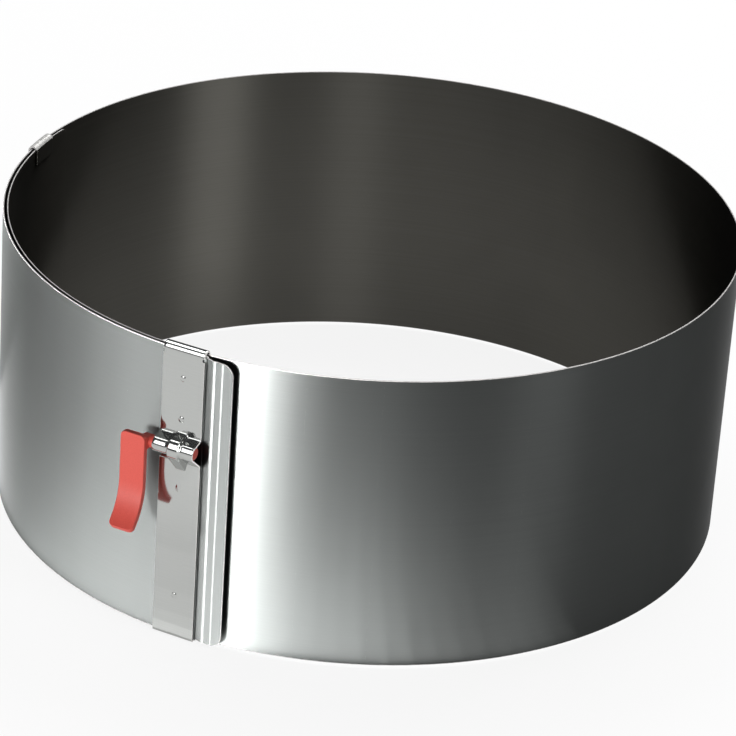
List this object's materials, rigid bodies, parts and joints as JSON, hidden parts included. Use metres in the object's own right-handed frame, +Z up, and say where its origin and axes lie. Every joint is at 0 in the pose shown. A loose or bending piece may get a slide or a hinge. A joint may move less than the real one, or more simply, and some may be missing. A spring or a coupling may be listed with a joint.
{
  "type": "adjustable cake ring",
  "caption": "Adjustable cake ring: a coiled strip of polished steel, held at its set size by a folded clamp with a red cam lever.",
  "frame": {"origin": "centre of the bounding box at its bottom", "axes": "+Z up along the ring's height, the clamp and its lever face -Y, +X to the right of the clamp"},
  "size_m": [0.2434, 0.257, 0.1019],
  "materials": {
    "steel": "polished",
    "red_plastic": "satin"
  },
  "bodies": {
    "clamp": {"clamp_plate": "steel", "band_grip_end": "steel"},
    "lever": {"lever": "red_plastic"},
    "arc_01": {"band_arc_01": "steel"},
    "arc_02": {"band_arc_02": "steel"},
    "arc_03": {"band_arc_03": "steel"},
    "arc_04": {"band_arc_04": "steel"},
    "arc_05": {"band_arc_05": "steel"},
    "arc_06": {"band_arc_06": "steel"},
    "arc_07": {"band_arc_07": "steel"},
    "arc_08": {"band_arc_08": "steel"},
    "arc_09": {"band_arc_09": "steel"},
    "arc_10": {"band_arc_10": "steel"},
    "arc_11": {"band_arc_11": "steel"},
    "arc_12": {"band_arc_12": "steel"},
    "arc_13": {"band_arc_13": "steel"},
    "arc_14": {"band_arc_14": "steel"},
    "arc_15": {"band_arc_15": "steel"},
    "arc_16": {"band_arc_16": "steel"},
    "arc_17": {"band_arc_17": "steel"},
    "arc_18": {"band_arc_18": "steel"},
    "arc_19": {"band_arc_19": "steel"},
    "arc_20": {"band_arc_20": "steel"},
    "arc_21": {"band_arc_21": "steel"},
    "arc_22": {"band_arc_22": "steel"},
    "arc_23": {"band_arc_23": "steel"},
    "arc_24": {"band_arc_24": "steel"},
    "arc_25": {"band_arc_25": "steel"},
    "arc_26": {"band_arc_26": "steel"},
    "arc_27": {"band_arc_27": "steel"},
    "arc_28": {"band_arc_28": "steel"},
    "arc_29": {"band_arc_29": "steel"},
    "arc_30": {"band_arc_30": "steel"},
    "arc_31": {"band_arc_31": "steel"},
    "arc_32": {"band_arc_32": "steel"},
    "arc_33": {"band_arc_33": "steel"},
    "arc_34": {"band_arc_34": "steel"},
    "arc_35": {"band_arc_35": "steel"},
    "arc_36": {"band_arc_36": "steel"},
    "arc_37": {"band_arc_37": "steel"},
    "arc_38": {"band_arc_38": "steel"},
    "arc_39": {"band_arc_39": "steel"},
    "tail": {"band_tail": "steel", "tail_clip_top": "steel", "tail_clip_bottom": "steel"}
  },
  "joints": [
    {"name": "lever_pivot", "type": "hinge", "parent": "clamp", "child": "lever", "pos_m": [0.00058, -0.11894, 0.0683], "axis": [-1, 0, 0], "range_deg": [0, 90]},
    {"name": "flex_01", "type": "hinge", "parent": "clamp", "child": "arc_01", "pos_m": [-0.00891, -0.11537, 0.0508], "axis": [0, 0, -1], "range_deg": [-1.85, 4.85]},
    {"name": "flex_02", "type": "hinge", "parent": "arc_01", "child": "arc_02", "pos_m": [-0.0319, -0.11134, 0.0508], "axis": [0, 0, -1], "range_deg": [-1.85, 4.86]},
    {"name": "flex_03", "type": "hinge", "parent": "arc_02", "child": "arc_03", "pos_m": [-0.05369, -0.10299, 0.0508], "axis": [0, 0, -1], "range_deg": [-1.85, 4.86]},
    {"name": "flex_04", "type": "hinge", "parent": "arc_03", "child": "arc_04", "pos_m": [-0.07349, -0.09063, 0.0508], "axis": [0, 0, -1], "range_deg": [-1.86, 4.87]},
    {"name": "flex_05", "type": "hinge", "parent": "arc_04", "child": "arc_05", "pos_m": [-0.09056, -0.07472, 0.0508], "axis": [0, 0, -1], "range_deg": [-1.86, 4.87]},
    {"name": "flex_06", "type": "hinge", "parent": "arc_05", "child": "arc_06", "pos_m": [-0.10429, -0.05585, 0.0508], "axis": [0, 0, -1], "range_deg": [-1.86, 4.88]},
    {"name": "flex_07", "type": "hinge", "parent": "arc_06", "child": "arc_07", "pos_m": [-0.11415, -0.0347, 0.0508], "axis": [0, 0, -1], "range_deg": [-1.86, 4.88]},
    {"name": "flex_08", "type": "hinge", "parent": "arc_07", "child": "arc_08", "pos_m": [-0.11979, -0.01205, 0.0508], "axis": [0, 0, -1], "range_deg": [-1.86, 4.89]},
    {"name": "flex_09", "type": "hinge", "parent": "arc_08", "child": "arc_09", "pos_m": [-0.121, 0.01126, 0.0508], "axis": [0, 0, -1], "range_deg": [-1.87, 4.89]},
    {"name": "flex_10", "type": "hinge", "parent": "arc_09", "child": "arc_10", "pos_m": [-0.11773, 0.03436, 0.0508], "axis": [0, 0, -1], "range_deg": [-1.87, 4.9]},
    {"name": "flex_11", "type": "hinge", "parent": "arc_10", "child": "arc_11", "pos_m": [-0.1101, 0.05642, 0.0508], "axis": [0, 0, -1], "range_deg": [-1.87, 4.91]},
    {"name": "flex_12", "type": "hinge", "parent": "arc_11", "child": "arc_12", "pos_m": [-0.09839, 0.0766, 0.0508], "axis": [0, 0, -1], "range_deg": [-1.87, 4.91]},
    {"name": "flex_13", "type": "hinge", "parent": "arc_12", "child": "arc_13", "pos_m": [-0.08303, 0.09417, 0.0508], "axis": [0, 0, -1], "range_deg": [-1.88, 4.92]},
    {"name": "flex_14", "type": "hinge", "parent": "arc_13", "child": "arc_14", "pos_m": [-0.06459, 0.10848, 0.0508], "axis": [0, 0, -1], "range_deg": [-1.88, 4.92]},
    {"name": "flex_15", "type": "hinge", "parent": "arc_14", "child": "arc_15", "pos_m": [-0.04375, 0.11899, 0.0508], "axis": [0, 0, -1], "range_deg": [-1.88, 4.93]},
    {"name": "flex_16", "type": "hinge", "parent": "arc_15", "child": "arc_16", "pos_m": [-0.02129, 0.12531, 0.0508], "axis": [0, 0, -1], "range_deg": [-1.88, 4.93]},
    {"name": "flex_17", "type": "hinge", "parent": "arc_16", "child": "arc_17", "pos_m": [0.00197, 0.12721, 0.0508], "axis": [0, 0, -1], "range_deg": [-1.88, 4.94]},
    {"name": "flex_18", "type": "hinge", "parent": "arc_17", "child": "arc_18", "pos_m": [0.02516, 0.12461, 0.0508], "axis": [0, 0, -1], "range_deg": [-1.89, 4.94]},
    {"name": "flex_19", "type": "hinge", "parent": "arc_18", "child": "arc_19", "pos_m": [0.04742, 0.11761, 0.0508], "axis": [0, 0, -1], "range_deg": [-1.89, 4.95]},
    {"name": "flex_20", "type": "hinge", "parent": "arc_19", "child": "arc_20", "pos_m": [0.06793, 0.10648, 0.0508], "axis": [0, 0, -1], "range_deg": [-1.89, 4.95]},
    {"name": "flex_21", "type": "hinge", "parent": "arc_20", "child": "arc_21", "pos_m": [0.08592, 0.09161, 0.0508], "axis": [0, 0, -1], "range_deg": [-1.89, 4.96]},
    {"name": "flex_22", "type": "hinge", "parent": "arc_21", "child": "arc_22", "pos_m": [0.10072, 0.07356, 0.0508], "axis": [0, 0, -1], "range_deg": [-1.89, 4.96]},
    {"name": "flex_23", "type": "hinge", "parent": "arc_22", "child": "arc_23", "pos_m": [0.11177, 0.05301, 0.0508], "axis": [0, 0, -1], "range_deg": [-1.9, 4.97]},
    {"name": "flex_24", "type": "hinge", "parent": "arc_23", "child": "arc_24", "pos_m": [0.11868, 0.03072, 0.0508], "axis": [0, 0, -1], "range_deg": [-1.9, 4.97]},
    {"name": "flex_25", "type": "hinge", "parent": "arc_24", "child": "arc_25", "pos_m": [0.12117, 0.00752, 0.0508], "axis": [0, 0, -1], "range_deg": [-1.9, 4.98]},
    {"name": "flex_26", "type": "hinge", "parent": "arc_25", "child": "arc_26", "pos_m": [0.11915, -0.01573, 0.0508], "axis": [0, 0, -1], "range_deg": [-1.9, 4.99]},
    {"name": "flex_27", "type": "hinge", "parent": "arc_26", "child": "arc_27", "pos_m": [0.11269, -0.03816, 0.0508], "axis": [0, 0, -1], "range_deg": [-1.9, 4.99]},
    {"name": "flex_28", "type": "hinge", "parent": "arc_27", "child": "arc_28", "pos_m": [0.10205, -0.05893, 0.0508], "axis": [0, 0, -1], "range_deg": [-1.91, 5]},
    {"name": "flex_29", "type": "hinge", "parent": "arc_28", "child": "arc_29", "pos_m": [0.0876, -0.07726, 0.0508], "axis": [0, 0, -1], "range_deg": [-1.91, 5]},
    {"name": "flex_30", "type": "hinge", "parent": "arc_29", "child": "arc_30", "pos_m": [0.0699, -0.09246, 0.0508], "axis": [0, 0, -1], "range_deg": [-1.91, 5.01]},
    {"name": "flex_31", "type": "hinge", "parent": "arc_30", "child": "arc_31", "pos_m": [0.0496, -0.10397, 0.0508], "axis": [0, 0, -1], "range_deg": [-1.91, 5.01]},
    {"name": "flex_32", "type": "hinge", "parent": "arc_31", "child": "arc_32", "pos_m": [0.02746, -0.11136, 0.0508], "axis": [0, 0, -1], "range_deg": [-1.92, 5.02]},
    {"name": "flex_33", "type": "hinge", "parent": "arc_32", "child": "arc_33", "pos_m": [0.00432, -0.11434, 0.0508], "axis": [0, 0, -1], "range_deg": [-1.92, 5.02]},
    {"name": "flex_34", "type": "hinge", "parent": "arc_33", "child": "arc_34", "pos_m": [-0.01897, -0.1128, 0.0508], "axis": [0, 0, -1], "range_deg": [-1.92, 5.03]},
    {"name": "flex_35", "type": "hinge", "parent": "arc_34", "child": "arc_35", "pos_m": [-0.04152, -0.1068, 0.0508], "axis": [0, 0, -1], "range_deg": [-1.92, 5.04]},
    {"name": "flex_36", "type": "hinge", "parent": "arc_35", "child": "arc_36", "pos_m": [-0.06249, -0.09656, 0.0508], "axis": [0, 0, -1], "range_deg": [-1.92, 5.04]},
    {"name": "flex_37", "type": "hinge", "parent": "arc_36", "child": "arc_37", "pos_m": [-0.08109, -0.08247, 0.0508], "axis": [0, 0, -1], "range_deg": [-1.93, 5.05]},
    {"name": "flex_38", "type": "hinge", "parent": "arc_37", "child": "arc_38", "pos_m": [-0.09662, -0.06505, 0.0508], "axis": [0, 0, -1], "range_deg": [-1.93, 5.05]},
    {"name": "flex_39", "type": "hinge", "parent": "arc_38", "child": "arc_39", "pos_m": [-0.10849, -0.04496, 0.0508], "axis": [0, 0, -1], "range_deg": [-1.93, 5.06]},
    {"name": "flex_40", "type": "hinge", "parent": "arc_39", "child": "tail", "pos_m": [-0.11626, -0.02295, 0.0508], "axis": [0, 0, -1], "range_deg": [-1.93, 5.06]}
  ],
  "couplings": [
    {"joint": "flex_02", "follows": "flex_01", "ratio": 1.0011},
    {"joint": "flex_03", "follows": "flex_01", "ratio": 1.0022},
    {"joint": "flex_04", "follows": "flex_01", "ratio": 1.0034},
    {"joint": "flex_05", "follows": "flex_01", "ratio": 1.0045},
    {"joint": "flex_06", "follows": "flex_01", "ratio": 1.0056},
    {"joint": "flex_07", "follows": "flex_01", "ratio": 1.0067},
    {"joint": "flex_08", "follows": "flex_01", "ratio": 1.0078},
    {"joint": "flex_09", "follows": "flex_01", "ratio": 1.0089},
    {"joint": "flex_10", "follows": "flex_01", "ratio": 1.0101},
    {"joint": "flex_11", "follows": "flex_01", "ratio": 1.0112},
    {"joint": "flex_12", "follows": "flex_01", "ratio": 1.0123},
    {"joint": "flex_13", "follows": "flex_01", "ratio": 1.0134},
    {"joint": "flex_14", "follows": "flex_01", "ratio": 1.0145},
    {"joint": "flex_15", "follows": "flex_01", "ratio": 1.0156},
    {"joint": "flex_16", "follows": "flex_01", "ratio": 1.0168},
    {"joint": "flex_17", "follows": "flex_01", "ratio": 1.0179},
    {"joint": "flex_18", "follows": "flex_01", "ratio": 1.019},
    {"joint": "flex_19", "follows": "flex_01", "ratio": 1.0201},
    {"joint": "flex_20", "follows": "flex_01", "ratio": 1.0212},
    {"joint": "flex_21", "follows": "flex_01", "ratio": 1.0223},
    {"joint": "flex_22", "follows": "flex_01", "ratio": 1.0235},
    {"joint": "flex_23", "follows": "flex_01", "ratio": 1.0246},
    {"joint": "flex_24", "follows": "flex_01", "ratio": 1.0257},
    {"joint": "flex_25", "follows": "flex_01", "ratio": 1.0268},
    {"joint": "flex_26", "follows": "flex_01", "ratio": 1.0279},
    {"joint": "flex_27", "follows": "flex_01", "ratio": 1.029},
    {"joint": "flex_28", "follows": "flex_01", "ratio": 1.0302},
    {"joint": "flex_29", "follows": "flex_01", "ratio": 1.0313},
    {"joint": "flex_30", "follows": "flex_01", "ratio": 1.0324},
    {"joint": "flex_31", "follows": "flex_01", "ratio": 1.0335},
    {"joint": "flex_32", "follows": "flex_01", "ratio": 1.0346},
    {"joint": "flex_33", "follows": "flex_01", "ratio": 1.0357},
    {"joint": "flex_34", "follows": "flex_01", "ratio": 1.0369},
    {"joint": "flex_35", "follows": "flex_01", "ratio": 1.038},
    {"joint": "flex_36", "follows": "flex_01", "ratio": 1.0391},
    {"joint": "flex_37", "follows": "flex_01", "ratio": 1.0402},
    {"joint": "flex_38", "follows": "flex_01", "ratio": 1.0413},
    {"joint": "flex_39", "follows": "flex_01", "ratio": 1.0424},
    {"joint": "flex_40", "follows": "flex_01", "ratio": 1.0436}
  ]
}
